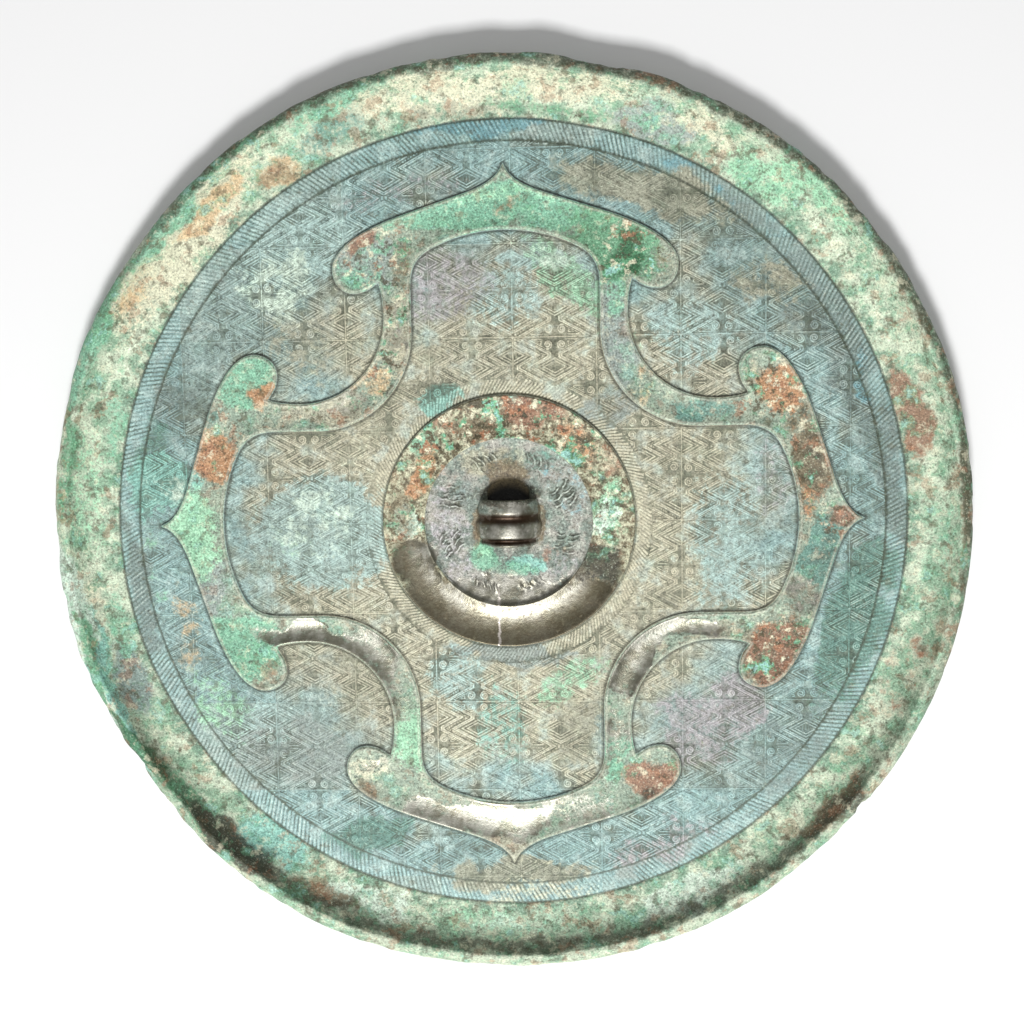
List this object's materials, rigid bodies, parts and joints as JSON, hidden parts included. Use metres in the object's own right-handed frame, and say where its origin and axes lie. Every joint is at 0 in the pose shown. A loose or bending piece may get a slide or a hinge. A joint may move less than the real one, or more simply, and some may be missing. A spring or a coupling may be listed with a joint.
{
  "type": "ancient bronze mirror",
  "caption": "Round cast bronze mirror lying back up: hollowed quatrefoil band on a fine stamped ground, hollowed ring, ridged bridge knob for a cord, and a high rolled rim.",
  "frame": {"origin": "middle of the flat reflecting face, which the mirror lies on", "axes": "+Z out of the decorated back; the quatrefoil's heads point along +X, +Y, -X and -Y; the cord hole runs along Y"},
  "size_m": [0.1805, 0.1804, 0.0082],
  "materials": {
    "patinated_bronze": "buried high-tin bronze: dull grey metal showing through green, turquoise, tan and red-brown corrosion"
  },
  "bodies": {
    "root": {"disc": "patinated_bronze", "knob": "patinated_bronze"}
  },
  "joints": []
}
